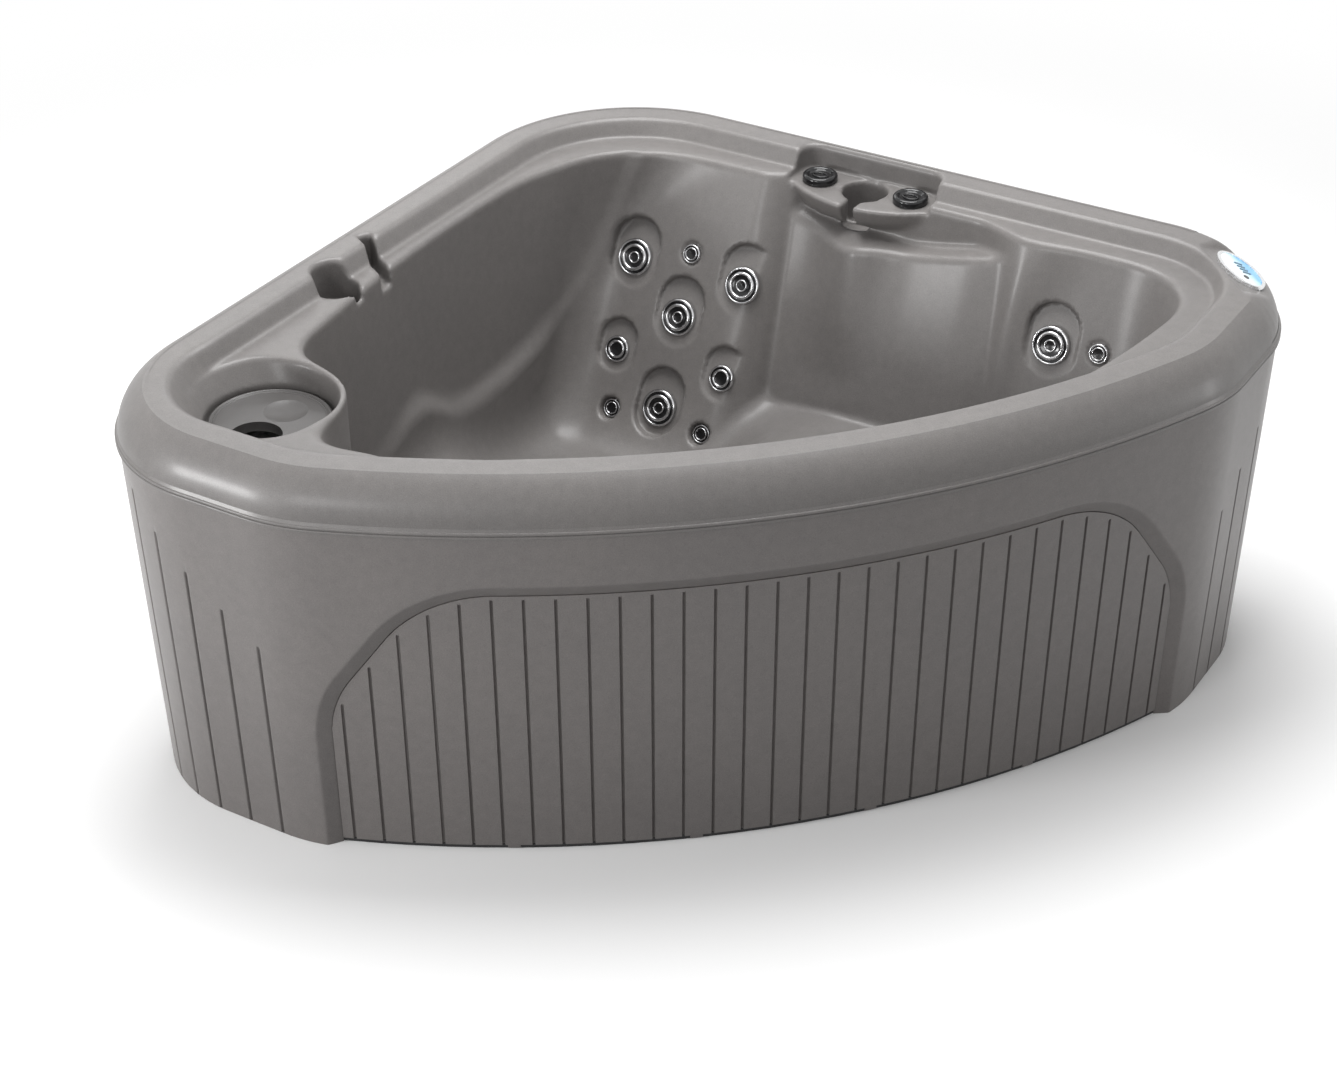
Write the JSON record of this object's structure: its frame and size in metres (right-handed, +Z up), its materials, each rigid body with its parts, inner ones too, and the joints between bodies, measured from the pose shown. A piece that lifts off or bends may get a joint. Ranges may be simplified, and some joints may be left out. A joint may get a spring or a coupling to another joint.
{
  "type": "corner hot tub",
  "caption": "Moulded corner hot tub with a bowed front, a reclining and an upright seat, turning water jets, air knobs, a lift-out filter and a removable front panel.",
  "frame": {"origin": "on the floor under the middle of the plan box", "axes": "+Z up, bowed front with the access panel toward -Y, the square corner toward +Y, topside control toward +X"},
  "size_m": [2.0647, 1.5144, 0.7405],
  "materials": {
    "moulded_shell": "satin granular",
    "moulded_skirt": "satin granular",
    "black_plastic": "matt",
    "gloss_black": "gloss",
    "bright_trim": "polished",
    "pipe_plastic": "smooth",
    "foam_block": "matt",
    "filter_paper": "pleated",
    "pale_blue": "gloss",
    "painted_motor": "semi-gloss",
    "grey_box": "matt",
    "steel": "brushed"
  },
  "bodies": {
    "tub": {"tub_shell": "moulded_shell", "cabinet_skirt": "moulded_skirt", "base_pan": "black_plastic", "footwell_riser": "foam_block", "seat_posts": "pipe_plastic", "small_jet_faces": "bright_trim", "large_jet_bodies": "pipe_plastic", "medium_jet_bodies": "pipe_plastic", "small_jet_bodies": "pipe_plastic", "large_jet_nuts": "pipe_plastic", "medium_jet_nuts": "pipe_plastic", "small_jet_nuts": "pipe_plastic", "large_jet_nozzles": "black_plastic", "medium_jet_nozzles": "black_plastic", "air_valve_bodies": "black_plastic", "filter_spigot": "pipe_plastic", "topside_bezel": "bright_trim", "topside_face": "pale_blue", "topside_window": "gloss_black", "pump_motor": "painted_motor", "pump_wet_end": "black_plastic", "pump_foot": "black_plastic", "control_box": "grey_box", "heater_tube": "steel", "heater_unions": "black_plastic", "pressure_pipe": "pipe_plastic", "return_pipe": "pipe_plastic", "water_manifold": "pipe_plastic", "suction_pipe": "pipe_plastic", "suction_covers": "grey_box", "drain_fitting": "grey_box", "air_manifold": "pipe_plastic", "cord_gland": "black_plastic"},
    "panel": {"access_panel": "moulded_skirt"},
    "cartridge": {"filter_cartridge": "filter_paper"},
    "lid": {"filter_lid": "moulded_shell"},
    "air_knob_left": {"air_knob_left": "gloss_black"},
    "air_knob_right": {"air_knob_right": "gloss_black"},
    "shoulder_jet_left": {"shoulder_jet_left": "bright_trim"},
    "shoulder_jet_right": {"shoulder_jet_right": "bright_trim"},
    "spine_jet": {"spine_jet": "bright_trim"},
    "lumbar_jet": {"lumbar_jet": "bright_trim"},
    "seat_jet": {"seat_jet": "bright_trim"},
    "kidney_jet_left": {"kidney_jet_left": "bright_trim"},
    "kidney_jet_right": {"kidney_jet_right": "bright_trim"},
    "key_1": {"topside_key_1": "gloss_black"},
    "key_2": {"topside_key_2": "gloss_black"},
    "key_3": {"topside_key_3": "gloss_black"},
    "key_4": {"topside_key_4": "gloss_black"}
  },
  "joints": [
    {"name": "panel_removal", "type": "slide", "parent": "tub", "child": "panel", "axis": [0, -1, 0], "range_m": [0, 0.3]},
    {"name": "cartridge_lift", "type": "slide", "parent": "tub", "child": "cartridge", "axis": [0, 0, 1], "range_m": [0, 0.42]},
    {"name": "lid_lift", "type": "slide", "parent": "cartridge", "child": "lid", "axis": [0, 0, 1], "range_m": [0, 0.15]},
    {"name": "air_knob_left_turn", "type": "hinge", "parent": "tub", "child": "air_knob_left", "pos_m": [0.36911, 0.37451, 0.69], "axis": [0, 0, 1], "range_deg": [-180, 0]},
    {"name": "air_knob_right_turn", "type": "hinge", "parent": "tub", "child": "air_knob_right", "pos_m": [0.5077, 0.23591, 0.69], "axis": [0, 0, 1], "range_deg": [-180, 0]},
    {"name": "shoulder_jet_left_turn", "type": "hinge", "parent": "tub", "child": "shoulder_jet_left", "pos_m": [0.02834, 0.51033, 0.5], "axis": [-0.645, -0.645, 0.4099], "range_deg": [0, 100]},
    {"name": "shoulder_jet_right_turn", "type": "hinge", "parent": "tub", "child": "shoulder_jet_right", "pos_m": [0.20229, 0.33638, 0.5], "axis": [-0.645, -0.645, 0.4099], "range_deg": [0, 100]},
    {"name": "spine_jet_turn", "type": "hinge", "parent": "tub", "child": "spine_jet", "pos_m": [0.0883, 0.39634, 0.415], "axis": [-0.645, -0.645, 0.4099], "range_deg": [0, 100]},
    {"name": "lumbar_jet_turn", "type": "hinge", "parent": "tub", "child": "lumbar_jet", "pos_m": [0.0346, 0.34264, 0.246], "axis": [-0.645, -0.645, 0.4099], "range_deg": [0, 100]},
    {"name": "seat_jet_turn", "type": "hinge", "parent": "tub", "child": "seat_jet", "pos_m": [0.67983, -0.094, 0.527], "axis": [-0.6674, -0.6674, 0.3305], "range_deg": [0, 100]},
    {"name": "kidney_jet_left_turn", "type": "hinge", "parent": "tub", "child": "kidney_jet_left", "pos_m": [-0.02458, 0.45457, 0.329], "axis": [-0.645, -0.645, 0.4099], "range_deg": [0, 100]},
    {"name": "kidney_jet_right_turn", "type": "hinge", "parent": "tub", "child": "kidney_jet_right", "pos_m": [0.14653, 0.28345, 0.329], "axis": [-0.645, -0.645, 0.4099], "range_deg": [0, 100]},
    {"name": "key_1_press", "type": "slide", "parent": "tub", "child": "key_1", "axis": [-0.2756, 0, -0.9613], "range_m": [0, 0.0008], "stiffness_N_per_m": 1500},
    {"name": "key_2_press", "type": "slide", "parent": "tub", "child": "key_2", "axis": [-0.2756, 0, -0.9613], "range_m": [0, 0.0008], "stiffness_N_per_m": 1500},
    {"name": "key_3_press", "type": "slide", "parent": "tub", "child": "key_3", "axis": [-0.2756, 0, -0.9613], "range_m": [0, 0.0008], "stiffness_N_per_m": 1500},
    {"name": "key_4_press", "type": "slide", "parent": "tub", "child": "key_4", "axis": [-0.2756, 0, -0.9613], "range_m": [0, 0.0008], "stiffness_N_per_m": 1500}
  ]
}
